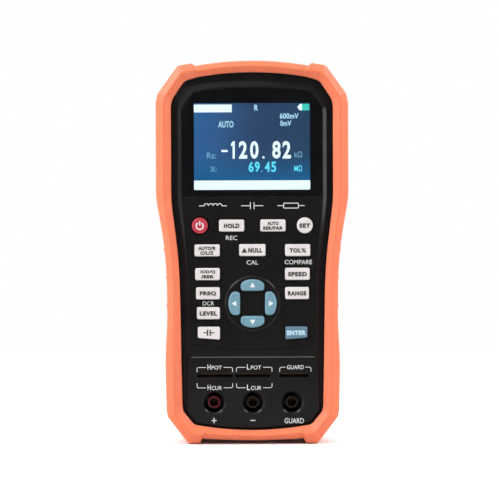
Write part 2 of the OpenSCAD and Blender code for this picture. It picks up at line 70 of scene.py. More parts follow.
def mm_box(node):
    """The lowest and highest corner of a CAD node, in mm."""
    return [[c / MM for c in corner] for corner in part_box(node)]


def middle(node):
    """The middle of a CAD node's box, in mm."""
    return [(a + b) / 2 for a, b in zip(*mm_box(node))]


# Depths run along y, and the front is the lower side.
CREST, BACK_CREST = cad_box[0][1] / MM, cad_box[1][1] / MM
FACE = CREST + 2.5  # flat front face
INNER = FACE + 2.5  # inside of the front face
SHOULDER = FACE + 2.6  # front edge of the case's side wall
BACK = BACK_CREST - 2.5  # flat back face
BACK_SHOULDER = BACK - 2.4
RECESS = BACK - 3.2  # floor of the stand's recess
RIM_W = 7.6  # from the boot's edge to its opening
BEVEL_W = 4.7  # from the flat face to the edge of the raised part
WINDOW_T = 1.3
LEDGE = FACE + WINDOW_T + 0.05  # what the window lies on
SLOTS = [(-26.9, -10.1), (-8.4, 8.4), (13.1, 27.3)]  # ends of the test slots
SLOT_Z = 33.5
SLOT_H = 1.8
SOCKETS = {-19.05: "socket_insulator_red", 0: "socket_insulator_black", 19.05: "socket_insulator_guard"}
SOCKET_Z = 20.4
VIEW_Z = middle("display_panel")[2]
VIEW_W, VIEW_H = 57.6, 43.2  # lit area
PAD_Z = 68.9  # middle of the arrow keys
PAD_TOP = FACE - 0.7  # top of the platform round them
KEY_GAP, PETAL_GAP = 0.28, 0.32  # round a key, and round an arrow key
PORT = middle("usb_port")[1:]  # y and z
CASE_SCREWS = [(-30.5, 174.3), (-29, 17.5), (30.5, 174.3), (29, 17.5)]
STAND_X = 25  # half width of the stand
STAND_LOW = 21
HINGE_Z = 119.5


# ---- outlines: lists of (x, z)

def unit(a, b):
    """The direction from a to b, which is (0, 0) if they are the same point."""
    length = math.dist(a, b) or 1
    return (b[0] - a[0]) / length, (b[1] - a[1]) / length


def grow(line, d):
    """A closed outline moved outward by d."""
    area = sum(a[0] * b[1] - b[0] * a[1] for a, b in zip(line, line[1:] + line[:1]))
    side = 1 if area > 0 else -1
    out = []
    for i, b in enumerate(line):
        (ux, uz), (vx, vz) = unit(line[i - 1], b), unit(b, line[(i + 1) % len(line)])
        nx, nz = uz + vz, -ux - vx
        # the least of 0.4 keeps a sharp corner from running far out
        k = side * d * 2 / max(nx * nx + nz * nz, 0.4)
        out.append((b[0] + k * nx, b[1] + k * nz))
    return out


def between(a, b, t):
    """The point a share t of the way from a to b."""
    return a[0] + (b[0] - a[0]) * t, a[1] + (b[1] - a[1]) * t


def mix(a, b, t):
    """The outline a share t of the way from a to b."""
    return [between(p, q, t) for p, q in zip(a, b)]


def curve_between(a, b, c, cut, n):
    """Points that round off the corner at b."""
    most = 0.48  # of an edge, so that two corners on it don't meet
    p, q = (between(b, end, min(cut / math.dist(b, end), most)) for end in (a, c))
    return [between(between(p, b, k / n), between(b, q, k / n), k / n) for k in range(n + 1)]


def soften(points, cut, n, closed=True):
    """A polyline with its corners rounded off. cut is one distance, or one for each point."""
    cuts = cut if isinstance(cut, list) else [cut] * len(points)
    out = []
    for i, b in enumerate(points):
        at_end = not closed and i in (0, len(points) - 1)
        if at_end or cuts[i] <= 0:
            out.append(b)
        else:
            out += curve_between(points[i - 1], b, points[(i + 1) % len(points)], cuts[i], n)
    return out


def bowed(mid_z, end, n):
    """Points on a bow from x = 0 to just before its end."""
    return [(end[0] * i / n, mid_z + (end[1] - mid_z) * (i / n) ** 2) for i in range(n)]


def bezier(p, n, first):
    """Points first to n of a cubic curve."""
    out = []
    for i in range(first, n + 1):
        line = p
        while len(line) > 1:
            line = mix(line, line[1:], i / n)
        out += line
    return out


def outline(top_z, upper, side, waist, lower, bottom_z):
    """A full outline from its right half: bowed top, corners, two curves, corners and bowed base."""
    crown, sole = bowed(top_z, upper[0], 30), bowed(bottom_z, lower[-1], 24)
    corners = soften([crown[-1]] + upper + [side[0]], 0.9, 4, closed=False)[1:-1]
    feet = soften([waist[-1]] + lower + [sole[-1]], 0.9, 4, closed=False)[1:-1]
    right = crown[:-1] + corners + bezier(side, 36, 0) + bezier(waist, 20, 1) + feet + sole[::-1][1:]
    return right + [(-x, z) for x, z in right[-2:0:-1]]


rim = outline(
    188, [(28, 185.5), (29, 186.85), (35.8, 185.8), (36.9, 185), (46.3, 171.8), (47.3, 167.5)],
    [(47.3, 124), (47.3, 114), (41.8, 102), (42, 70)],
    [(42, 70), (41.6, 56), (42.9, 50), (42.9, 36)],
    [(42.5, 16.5), (41.9, 13.2), (33.9, 2.8), (31.4, 0), (26, 0), (25, 2.6)], 1.7)
opening = outline(
    182.2, [(26, 180), (27, 179.8), (32.3, 178.2), (33.6, 177.2), (38.9, 169.2), (39.7, 166)],
    [(39.7, 124), (39.7, 112), (36, 100), (35.5, 74)],
    [(35.5, 74), (35.2, 60), (35.1, 54), (35, 42)],
    [(34.5, 18.5), (34, 16), (29.4, 10.3), (28.2, 9.4), (24.5, 8.8), (23.5, 8.65)], 6.8)
flat = outline(
    175.2, [(22.5, 173.9), (23.5, 173.8), (28, 172.9), (29.2, 172.2), (33.8, 166.6), (34.7, 164)],
    [(34.7, 124), (34.7, 112), (31.9, 100), (31.5, 74)],
    [(31.5, 74), (31.3, 60), (31.2, 54), (31.1, 42)],
    [(32.3, 18.5), (32, 16.6), (28.2, 11.6), (27.2, 10.9), (23, 10), (21.5, 9.9)], 8.4)
raised = mix(rim, opening, 1.04)  # edge of the face, just inside the boot's opening


def rim_x(z):
    """Half width of the boot at height z."""
    side = sorted((p[1], p[0]) for p in rim if p[0] > 0 and 20 < p[1] < 166)
    return float(np.interp(z, *zip(*side)))


def arc(x, z, r, a0, a1, n=24):
    """Points round x, z from one angle to another, in degrees."""
    return [(x + r * math.cos(a), z + r * math.sin(a))
            for a in (math.radians(a0 + (a1 - a0) * k / n) for k in range(n + 1))]


def circle(x, z, r, n=56):
    return arc(x, z, r, 0, 360, n)[:-1]


def rounded(w, h, r, x=0, z=0, n=6):
    """A rectangle with round corners."""
    out = []
    for sx, sz, start in ((1, 1, 0), (-1, 1, 90), (-1, -1, 180), (1, -1, 270)):
        out += arc(x + sx * (w / 2 - r), z + sz * (h / 2 - r), r, start, start + 90, n)
    return out


def stroke(points, w, closed=False):
    """Outlines of a line of width w along points: one outline, or an outer and an inner one."""
    if closed:
        return [grow(points, w / 2), grow(points, -w / 2)]
    left, right = [], []
    end = len(points) - 1
    for i, b in enumerate(points):
        (ux, uz), (vx, vz) = unit(points[max(i - 1, 0)], b), unit(b, points[min(i + 1, end)])
        nx, nz = -uz - vz, ux + vx
        k = w / 2 if i in (0, end) else w / max(nx * nx + nz * nz, 0.5)
        left.append((b[0] + nx * k, b[1] + nz * k))
        right.append((b[0] - nx * k, b[1] - nz * k))
    return [left + right[::-1]]


def within(points, line):
    """Which of the points lie inside an outline."""
    p, a = np.asarray(points), np.asarray(line)
    b = np.roll(a, -1, axis=0)
    x, z = p[:, :1], p[:, 1:]
    crosses = (a[:, 1] > z) != (b[:, 1] > z)
    with np.errstate(divide="ignore", invalid="ignore"):
        at = a[:, 0] + (z - a[:, 1]) * (b[:, 0] - a[:, 0]) / (b[:, 1] - a[:, 1])
    return (crosses & (x < at)).sum(axis=1) % 2 == 1


# ---- closed surfaces from rings and sheets

scene = bpy.context.scene
FINISHES = {}


def add_object(name, data):
    """A new object in the scene."""
    obj = bpy.data.objects.new(name, data)
    scene.collection.objects.link(obj)
    return obj


def place(mesh, name, mat, body, nodes=()):
    """A piece with the finish mat, which rides on a body and stands for CAD nodes."""
    obj = add_object(name, mesh)
    mesh.materials.clear()
    mesh.materials.append(FINISHES[mat])
    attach(obj, body)
    if nodes:
        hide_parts(*nodes)
    return obj


def as_it_stands(obj):
    """A new mesh of an object after its modifiers."""
    bpy.context.view_layer.update()
    return bpy.data.meshes.new_from_object(obj.evaluated_get(bpy.context.evaluated_depsgraph_get()))


class Skin:
    """A closed surface made of bands between rings, and of flat sheets."""

    def __init__(self):
        self.co, self.faces, self.flat = [], [], []

    def ring(self, line, at, axis="y"):
        """A ring of (x, z) points at a depth, or of (y, z) points across the x axis."""
        start = len(self.co)
        self.co += [(a, at, b) if axis == "y" else (at, a, b) for a, b in line]
        return list(range(start, len(self.co)))

    def run(self, rings):
        """Bands from each ring to the next."""
        for a, b in zip(rings, rings[1:]):
            for i in range(len(a)):
                j = (i + 1) % len(a)
                self.faces.append((a[i], a[j], b[j], b[i]))
                self.flat.append(False)

    def sheet(self, outer, holes=()):
        """A flat sheet inside one ring and outside the rings of its holes."""
        rings = [outer, *holes]
        index = [i for ring in rings for i in ring]
        order = {i: k for k, i in enumerate(index)}
        edges = [(order[i], order[j]) for ring in rings for i, j in zip(ring, ring[1:] + ring[:1])]
        lines = [[(self.co[i][0], self.co[i][2]) for i in ring] for ring in rings]
        spots = [Vector(spot) for line in lines for spot in line]
        verts, _, tris, source, _, _ = delaunay_2d_cdt(spots, edges, [], 0, 1e-6, True)
        centres = [(sum(verts[k][0] for k in t) / 3, sum(verts[k][1] for k in t) / 3) for t in tris]
        keep = within(centres, lines[0])
        for line in lines[1:]:
            keep &= ~within(centres, line)
        for t, kept in zip(tris, keep):
            if kept:
                self.faces.append(tuple(index[source[k][0]] for k in t))
                self.flat.append(True)

    def bar(self, stations):
        """A bar along x through outlines of (y, z) points. stations are (x, outline)."""
        rings = [self.ring(line, x, "x") for x, line in stations]
        self.run(rings)
        self.faces += [tuple(rings[0]), tuple(rings[-1])]
        self.flat += [True, True]

    def round_over(self, line, y, into, r, hole=False, n=4):
        """A rounded edge between the sheet at depth y and the wall at line. Returns the rings of both."""
        out = r if hole else -r
        rings = []
        for k in range(n + 1):
            a = math.pi / 2 * k / n
            rings.append(self.ring(grow(line, out * (1 - math.sin(a))), y + into * r * (1 - math.cos(a))))
        self.run(rings)
        return rings[0], rings[-1]

    def opened(self, line, y, far, r, n=3, draft=0):
        """A hole with a rounded rim, from the sheet at depth y to that at depth far. Returns both rings."""
        first, wall = self.round_over(line, y, 1 if far > y else -1, r, hole=True, n=n)
        last = self.ring(grow(line, -draft), far)
        self.run([wall, last])
        return first, last

    def pit(self, line, y, far, r, draft=0):
        """A hollow with its floor at depth far. Returns the ring in the sheet at depth y."""
        top, floor = self.opened(line, y, far, r, draft=draft)
        self.sheet(floor)
        return top

    def wall(self, line, y0, y1, r0, r1, hole=False):
        """A wall between sheets at depths y0 and y1, with both its edges rounded. Returns both rings."""
        front, first = self.round_over(line, y0, 1, r0, hole)
        back, last = self.round_over(line, y1, -1, r1, hole)
        self.run([first, last])
        return front, back

    def slab(self, line, y0, y1, r0, r1, holes=(), pits=()):
        """A plate. holes are (outline, rim), and the pits in its back are (outline, depth, rim)."""
        front, back = self.wall(line, y0, y1, r0, r1)
        pairs = [self.wall(hole, y0, y1, r, r, hole=True) for hole, r in holes]
        pits = [self.pit(pit, y1, y1 - depth, r) for pit, depth, r in pits]
        self.sheet(front, [a for a, _ in pairs])
        self.sheet(back, [b for _, b in pairs] + pits)

    def thin(self, lines, y0, y1):
        """A printed shape: an outline, and any holes in it, with square edges."""
        a = [self.ring(line, y0) for line in lines]
        b = [self.ring(line, y1) for line in lines]
        for p, q in zip(a, b):
            self.run([p, q])
        self.sheet(a[0], a[1:])
        self.sheet(b[0], b[1:])

    def lathe(self, profile, centre, n=56, axis="y"):
        """The wall of a turned solid. profile is a list of (distance along the axis, radius)."""
        rings = [self.ring(circle(*centre, r, n), along, axis) for along, r in profile]
        self.run(rings)
        return rings

    def turned(self, profile, centre, n, axis="y"):
        """A turned solid with its two ends closed by fans."""
        rings = self.lathe(profile, centre, n, axis)
        for ring, (along, _) in ((rings[0], profile[0]), (rings[-1], profile[-1])):
            hub = self.ring([centre], along, axis)[0]
            self.faces += [(ring[i], ring[(i + 1) % n], hub) for i in range(n)]
            self.flat += [True] * n

    def mesh(self, name, crease=50):
        bm = bmesh.new()
        verts = [bm.verts.new((x * MM, y * MM, z * MM)) for x, y, z in self.co]
        for f in self.faces:
            bm.faces.new([verts[i] for i in f])
        bmesh.ops.recalc_face_normals(bm, faces=bm.faces)
        mesh = bpy.data.meshes.new(name)
        bm.to_mesh(mesh)
        bm.free()
        shade(mesh, self.flat, crease)
        return mesh

    def piece(self, name, slot, *nodes, mat=None, body=ROOT, crease=50):
        """The surface as a piece. Its finish is that of its slot, if mat doesn't name one."""
        return place(self.mesh(name, crease), name, mat or slot, body, nodes)


def plate(node, r, r0, r1, holes=(), pits=()):
    """A plate as wide, tall and deep as a CAD node, with corners of radius r."""
    (x0, y0, z0), (x1, y1, z1) = mm_box(node)
    skin = Skin()
    skin.slab(rounded(x1 - x0, z1 - z0, r, 0, (z0 + z1) / 2), y0, y1, r0, r1, holes, pits)
    return skin


def shade(mesh, flat_faces, crease):
    """Normals that keep sheets flat and let rounded edges flow into them."""
    normals = [p.normal.copy() for p in mesh.polygons]
    sizes = [p.area for p in mesh.polygons]
    around = [[] for _ in mesh.vertices]
    for p in mesh.polygons:
        p.use_smooth = True
        for v in p.vertices:
            around[v].append(p.index)
    limit = math.cos(math.radians(crease))
    loops = []
    for p in mesh.polygons:
        n = normals[p.index]
        if flat_faces[p.index]:
            loops += [n] * len(p.vertices)
            continue
        for v in p.vertices:
            near = [f for f in around[v] if normals[f].dot(n) > limit]
            sheets = [f for f in near if flat_faces[f]]
            if sheets:
                loops.append(normals[sheets[0]])
                continue
            total = sum((normals[f] * sizes[f] for f in near), Vector())
            loops.append(total.normalized() if total.length > 0 else n)
    mesh.normals_split_custom_set(loops)


def carve(obj, stations):
    """Takes a bar along x, through outlines of (y, z) points, out of obj's mesh."""
    tool = Skin()
    tool.bar(stations)
    cutter = add_object("cutter", tool.mesh("cutter"))
    cutter.data.materials.append(obj.data.materials[0])
    cut = obj.modifiers.new("cut", "BOOLEAN")
    cut.object, cut.operation, cut.solver = cutter, "DIFFERENCE", "EXACT"
    mesh = as_it_stands(obj)
    obj.modifiers.clear()
    obj.data = mesh
    bpy.data.objects.remove(cutter)
    shade(mesh, [False] * len(mesh.polygons), crease=38)


# ---- materials

class Graph:
    """The nodes of a material or world, each made and fed in one call."""

    def __init__(self, owner):
        owner.use_nodes = True
        self.nodes, self.links = owner.node_tree.nodes, owner.node_tree.links

    def feed(self, node, given):
        """Links or sets a node's inputs, by their names."""
        for name, value in given.items():
            if isinstance(value, bpy.types.NodeSocket):
                self.links.new(value, node.inputs[name])
            else:
                node.inputs[name].default_value = value

    def add(self, kind, output, given=(), **settings):
        """The named output of a new node."""
        node = self.nodes.new("ShaderNode" + kind)
        for name, value in settings.items():
            setattr(node, name, value)
        self.feed(node, dict(given))
        return node.outputs[output]

    def mixed(self, a, b, factor):
        return self.add("Mix", "Result", {"A": a, "B": b, "Factor": factor}, data_type="RGBA")

    def ranged(self, value, start, end, lo=0, hi=1):
        """value, stretched so that start to end becomes lo to hi."""
        return self.add("MapRange", "Result",
                        {"Value": value, "From Min": start, "From Max": end, "To Min": lo, "To Max": hi})


def linear(r, g, b):
    return tuple(((c / 255 + 0.055) / 1.055) ** 2.4 if c > 10 else c / 255 / 12.92 for c in (r, g, b)) + (1,)


def finish(name, colour, rough, metal=0, grain=0, grain_size=0.3, vary=0.06, rough_vary=0.06, coat=0,
           wear=None, spec=0.5, transmission=0, glow=None, sheen=0, scratches=0):
    """A surface with uneven colour and roughness, a fine grain and, if asked for, rubbed edges."""
    mat = FINISHES[name] = bpy.data.materials.new(name)
    graph = Graph(mat)
    bsdf = graph.nodes["Principled BSDF"]
    where = graph.add("TexCoord", "Object")

    def noise(size_mm, detail=3, stretch=None):
        at = graph.add("Mapping", "Vector", {"Scale": stretch, "Vector": where}) if stretch else where
        return graph.add("TexNoise", "Fac", {"Scale": 1 / (size_mm * MM), "Detail": detail, "Vector": at})

    dark, light = (tuple(min(1, c * k) for c in linear(*colour)[:3]) + (1,) for k in (1 - vary, 1 + vary))
    shown = graph.mixed(dark, light, graph.ranged(noise(14), 0.3, 0.7))
    if wear:
        edge = graph.ranged(graph.add("NewGeometry", "Pointiness"), 0.52, 0.62, 0, wear[1])
        patchy = graph.ranged(noise(3), 0.35, 0.6)
        worn = graph.add("Math", "Value", {0: edge, 1: patchy}, operation="MULTIPLY")
        shown = graph.mixed(shown, linear(*wear[0]), worn)
    uneven = graph.ranged(noise(9, 4), 0.3, 0.7, max(0.02, rough - rough_vary), rough + rough_vary)
    given = {"Base Color": shown, "Metallic": metal, "Roughness": uneven, "Specular IOR Level": spec,
             "Coat Weight": coat, "Coat Roughness": 0.08, "Transmission Weight": transmission,
             "Sheen Weight": sheen}
    for depth, texture in ((grain, (grain_size, 2)), (scratches, (0.5, 2, (0.06, 1, 1)))):
        if depth:
            bump = {"Strength": 1, "Distance": depth * MM, "Height": noise(*texture)}
            if "Normal" in given:
                bump["Normal"] = given["Normal"]
            given["Normal"] = graph.add("Bump", "Normal", bump)
    if transmission:
        given["IOR"] = 1.49
    if glow:
        unlit = (0.01, 0.01, 0.012, 1)
        given.update({"Emission Color": shown, "Emission Strength": glow, "Base Color": unlit})
    graph.feed(bsdf, given)
    return mat


finish("boot_rubber", (203, 95, 54), 0.5, grain=0.02, grain_size=0.35, vary=0.03,
       wear=((228, 142, 108), 0.25), sheen=0.15)
finish("case_front", (22, 21, 21), 0.16, grain=0.001, grain_size=0.5, vary=0.12, rough_vary=0.03, spec=0.07)
finish("case_back", (27, 27, 29), 0.5, grain=0.03, grain_size=0.28, vary=0.07, wear=((60, 60, 63), 0.25))
finish("window_acrylic", (235, 240, 245), 0.03, rough_vary=0.01, transmission=1, vary=0.01, spec=0.2)
finish("window_print", (14, 14, 15), 0.4, grain=0.001, vary=0.1, spec=0.1)
finish("black_foam", (24, 24, 25), 0.85, grain=0.08, grain_size=0.5, vary=0.15)
finish("tinned_steel", (205, 205, 200), 0.3, metal=1, grain=0.004, scratches=0.004)
finish("polyimide", (190, 125, 35), 0.3, grain=0.004, coat=0.3)
finish("keypad_rubber", (45, 45, 47), 0.7, grain=0.02)
finish("circuit_board", (18, 84, 52), 0.35, grain=0.006, grain_size=0.6, coat=0.4, vary=0.2)
finish("chip_black", (34, 34, 35), 0.6, grain=0.01, grain_size=0.2, vary=0.15)
finish("relay_white", (226, 222, 212), 0.4, grain=0.005)
finish("zinc_steel", (196, 196, 200), 0.3, metal=1, grain=0.004, scratches=0.006, rough_vary=0.12)
finish("terminal_plastic", (15, 12, 14), 0.36, grain=0.004, vary=0.1, spec=0.2)
finish("terminal_red", (86, 14, 18), 0.36, grain=0.004, spec=0.2)
# the brass is darker than bare brass: painted shade for the inside of the socket holes
finish("contact_brass", (98, 74, 48), 0.4, metal=1, grain=0.002, scratches=0.004)
finish("battery_wrap", (60, 92, 168), 0.3, grain=0.01, grain_size=2, coat=0.3)
finish("label_film", (150, 152, 154), 0.38, metal=0.3, grain=0.004, vary=0.05)
finish("key_grey", (188, 183, 182), 0.5, grain=0.006, grain_size=0.25, vary=0.03)
PLASTICS = {"key_red": (156, 32, 50), "key_blue": (88, 126, 140), "enter_blue": (72, 102, 118)}
for name, colour in PLASTICS.items():
    finish(name, colour, 0.45, grain=0.006, grain_size=0.25, vary=0.04)
finish("ink_dark", (20, 20, 23), 0.5, grain=0.001, vary=0.15)
INKS = {"ink_white": (196, 200, 200), "ink_pale": (158, 190, 204), "ink_grey": (96, 98, 98)}
for name, colour in INKS.items():
    finish(name, colour, 0.45, grain=0.001)
finish("lit_white", (232, 252, 250), 0.4, glow=1.35, vary=0.02)
finish("lit_cyan", (92, 214, 240), 0.4, glow=1.4, vary=0.03)
finish("lit_green", (66, 222, 200), 0.4, glow=1, vary=0.03)
finish("lit_units", (176, 226, 240), 0.4, glow=1.35, vary=0.03)
finish("lit_dim", (118, 182, 212), 0.4, glow=1.1, vary=0.03)


def screen_finish():
    """The lit background of the display: brighter blue at its left and foot, darker at its right."""
    graph = Graph(finish("display", (60, 95, 130), 0.35, vary=0.05, glow=0.9))

    def span(axis, start, end):
        at = graph.add("SeparateXYZ", axis, {"Vector": graph.add("TexCoord", "Object")})
        return graph.ranged(at, start * MM, end * MM)

    across = graph.add("ValToRGB", "Color", {"Fac": span("X", -VIEW_W / 2, VIEW_W / 2)})
    ramp = across.node.color_ramp.elements
    ramp[0].color, ramp[1].color = linear(50, 110, 172), linear(36, 70, 104)
    ramp.new(0.5).color = linear(45, 77, 116)
    lit = graph.mixed(across, linear(10, 104, 158), span("Z", 142, 129))
    graph.feed(graph.nodes["Principled BSDF"], {"Emission Color": lit})


screen_finish()


# ---- lettering and printed lines

PRINT_T = 0.03  # thickness of a printed sign


def lettering(y, text, x, z, height, width, bold=0):
    """The mesh of a short text in the plain built-in face, with its middle at x, z."""
    curve = bpy.data.curves.new("letters", "FONT")
    curve.body = text
    curve.offset = bold
    curve.space_character = 1 + 2.4 * bold
    curve.resolution_u = 5
    curve.extrude = 0.5
    maker = add_object("letters", curve)
    mesh = as_it_stands(maker)
    bpy.data.objects.remove(maker)
    bpy.data.curves.remove(curve)
    bm = bmesh.new()
    bm.from_mesh(mesh)
    bmesh.ops.remove_doubles(bm, verts=bm.verts, dist=1e-4)
    # the front and back get well-shaped triangles in place of slivers
    caps = [f for f in bm.faces if abs(f.normal.z) > 0.9 or f.calc_area() < 1e-7]
    around = set(caps)
    inner = [e for e in bm.edges if around.issuperset(e.link_faces)]
    bmesh.ops.beautify_fill(bm, faces=caps, edges=inner)
    xs, zs = [v.co.x for v in bm.verts], [v.co.y for v in bm.verts]
    wide, tall = width / (max(xs) - min(xs)), height / (max(zs) - min(zs))
    xm, zm = (min(xs) + max(xs)) / 2, (min(zs) + max(zs)) / 2
    for v in bm.verts:
        v.co = ((x + (v.co.x - xm) * wide) * MM, (y - v.co.z * PRINT_T) * MM, (z + (v.co.y - zm) * tall) * MM)
    bm.to_mesh(mesh)
    bm.free()
    return mesh


def drawn(shapes, y):
    """The mesh of printed shapes, each a list of outlines: an outer one and its holes."""
    skin = Skin()
    for lines in shapes:
        skin.thin(lines, y - PRINT_T / 2, y + PRINT_T / 2)
    mesh = bpy.data.meshes.new("drawn")
    mesh.from_pydata([(a * MM, b * MM, c * MM) for a, b, c in skin.co], [], skin.faces)
    return mesh


def readout(y, places, base, height, width):
    """The meshes of a number. places holds each sign with the x of its middle."""
    out = []
    for sign, x in places:
        if sign == ".":
            out.append(lettering(y, sign, x, base + height * 0.07, height * 0.13, height * 0.13))
        elif sign == "-":
            out.append(lettering(y, sign, x, base + height * 0.44, height * 0.12, width * 0.75, 0.02))
        elif sign == "1":
            flag = [(0.18, 0), (0.18, 1), (-0.03, 1), (-0.28, 0.84), (-0.28, 0.69), (-0.08, 0.78), (-0.08, 0)]
            out.append(drawn([[[(x + u * width, base + v * height) for u, v in flag]]], y))
        else:
            out.append(lettering(y, sign, x, base + height / 2, height, width, 0.03))
    return out


def printed(meshes, name, mat, body=ROOT):
    """Several meshes as one piece."""
    bm = bmesh.new()
    for mesh in meshes:
        bm.from_mesh(mesh)
        bpy.data.meshes.remove(mesh)
    bmesh.ops.remove_doubles(bm, verts=bm.verts, dist=1e-7)
    bmesh.ops.recalc_face_normals(bm, faces=bm.faces)
    whole = bpy.data.meshes.new(name)
    bm.to_mesh(whole)
    bm.free()
    place(whole, name, mat, body)


# ---- boot

def boot():
    # (distance in from the boot's edge, depth) round the section, with the parting line last
    section = soften([
        (0, -13.5), (0.02, -17.4), (0.75, -18.9), (3.8, CREST), (4.35, CREST), (RIM_W, -18.7),
        (RIM_W, SHOULDER - 0.1), (3.7, SHOULDER - 0.1), (3.7, BACK_SHOULDER + 0.1),
        (RIM_W, BACK_SHOULDER + 0.1), (RIM_W, 19.4), (4.7, BACK_CREST), (2.4, BACK_CREST), (1, 20.2),
        (0.1, 17.6), (0, 13.5), (0, 0.5), (0.28, 0.3), (0.28, -0.3), (0, -0.5)
    ], [3, 1.6, 1, 0.55, 0.4, 0.45, 0, 0, 0, 0, 0.4, 0.9, 0.9, 1.2, 2, 3, 0.1, 0.08, 0.08, 0.1], 5)
    skin = Skin()
    rings = [skin.ring(mix(rim, opening, d / RIM_W), y) for d, y in section]
    skin.run(rings + rings[:1])
    shell = skin.piece("boot_shell", "boot_rubber", "boot")
    # its opening for the USB port, wider at the outside
    mouth = rounded(9, 13, 1.6, *PORT)
    carve(shell, [(40.3, mouth), (46.4, mouth), (49.5, grow(mouth, 2.4))])

    grips = Skin()
    rib = soften([(-0.7, 3), (0.1, 2.75), (0.72, 2.1), (0.55, 0.6), (0.02, -2.9), (-0.7, -3.2)],
                 [0, 0.3, 0.6, 0.8, 0.6, 0], 4)
    # depths along a rib, and how far it stands out there
    end = [(9.8, 1), (10.7, 0.78), (11.3, 0.45), (11.6, 0)]
    along = [(-y, k) for y, k in end[::-1]] + [(y, 1) for y in range(-8, 9, 2)] + end
    for side in (-1, 1):
        for z0 in (94, 80.2, 66.4):
            rings = []
            for y, k in along:
                line = [(side * (rim_x(z0 + v) + (u * k if u > 0 else u) - 0.05), z0 + v) for u, v in rib]
                rings.append(grips.ring(line, y))
            grips.run(rings)
            grips.sheet(rings[0])
            grips.sheet(rings[-1])
    grips.piece("boot_grips", "boot_rubber")


# ---- keys

TURNS = {"key_up": 0, "key_right": -90, "key_down": 180, "key_left": 90}
NAMES = "power hold mode set function null tolerance parameter speed frequency range level fixture enter"
# node: (shape of its cap, material slot)
KEYS = {"key_" + name: ("bar", "key_grey") for name in NAMES.split()}
KEYS.update(key_power=("round", "key_red"), key_set=("round", "key_grey"),
            key_fixture=("wedge", "key_grey"), key_enter=("wedge", "key_blue"))
KEYS.update({node: ("petal", "key_blue") for node in TURNS})
FLANGE = 0.9  # reach and thickness of the flange behind the face
# node: its lines of (text, height above the key's middle, height, width)
LEGENDS = {
    "key_hold": [("HOLD", 0, 2.3, 7.7)],
    "key_mode": [("AUTO", 1.15, 1.75, 5.6), ("SER/PAR", -1.15, 1.75, 9.8)],
    "key_set": [("SET", 0, 2.2, 5.4)],
    "key_function": [("AUTO/R", 1.15, 1.75, 8.6), ("C/L/Z", -1.15, 1.75, 6.6)],
    "key_parameter": [("X/D/Q", 1.15, 1.75, 7.6), ("/ESR", -1.15, 1.75, 6.4)],
    "key_speed": [("SPEED", 0, 2.2, 9.2)],
    "key_frequency": [("FREQ", 0, 2.3, 8)],
    "key_range": [("RANGE", 0, 2.2, 9)],
    "key_level": [("LEVEL", 0, 2.2, 8.6)],
    "key_enter": [("ENTER", 0.2, 2.3, 9.3)],
}
BOLD = 0.065


def spun(line, node):
    """A petal key's points, turned about the middle of the arrow keys to where that key is."""
    c, s = math.cos(math.radians(TURNS[node])), math.sin(math.radians(TURNS[node]))
    return [(x * c - z * s, PAD_Z + x * s + z * c) for x, z in line]


def key_outline(node):
    """The outline of a key's cap, from the box of its CAD node."""
    kind = KEYS[node][0]
    (x0, _, z0), (x1, _, z1) = mm_box(node)
    x, z, w, h = (x0 + x1) / 2, (z0 + z1) / 2, x1 - x0 - 2 * FLANGE, z1 - z0 - 2 * FLANGE
    if kind == "round":
        return circle(x, z, w / 2)
    if kind == "petal":
        # a bulging outer side, and a flat inner one between round corners
        line = [(5.8 * u, 8.65 + 3.2 * v) for u, v in arc(0, 0, 1, 0, 180, 36)]
        for cx, start in ((-4.2, 180), (4.2, 270)):
            line += arc(cx, 7.7, 1.6, start, start + 90, 6)
        return spun([p for i, p in enumerate(line) if math.dist(p, line[i - 1]) > 0.02], node)
    if kind == "wedge":
        # deeper on the side towards the middle of the face
        tall = 5.9
        slope = 0.028 if x > 0 else -0.028
        return [(x + u, z1 - FLANGE - tall / 2 + (v * (1 - slope * u) if v < 0 else v))
                for u, v in rounded(w, tall, 0.75)]
    return rounded(w, h, 0.75, x, z)


OUTLINES = {node: key_outline(node) for node in KEYS}


def key(node):
    """A key's cap with its flange and stem."""
    kind, slot = KEYS[node]
    (_, top, _), (_, bottom, _) = mm_box(node)
    line = OUTLINES[node]
    edge = {"petal": 0.95, "round": 0.75}.get(kind, 0.5)  # radius of its front edge
    flange = INNER + 0.1
    skin = Skin()
    front, wall = skin.round_over(line, top, 1, edge, n=5)
    rings = [wall, skin.ring(line, flange)]
    rings += [skin.ring(grow(line, FLANGE), y) for y in (flange, flange + FLANGE)]
    skin.run(rings)
    skin.sheet(front)
    skin.sheet(rings[-1])
    centre = sum(p[0] for p in line) / len(line), sum(p[1] for p in line) / len(line)
    skin.turned([(flange + 0.5, 1.8), (bottom, 1.8)], centre, 32)
    colour = "enter_blue" if node == "key_enter" else slot
    skin.piece(node + "_cap", slot, node, mat=colour, body=node + "_cap")


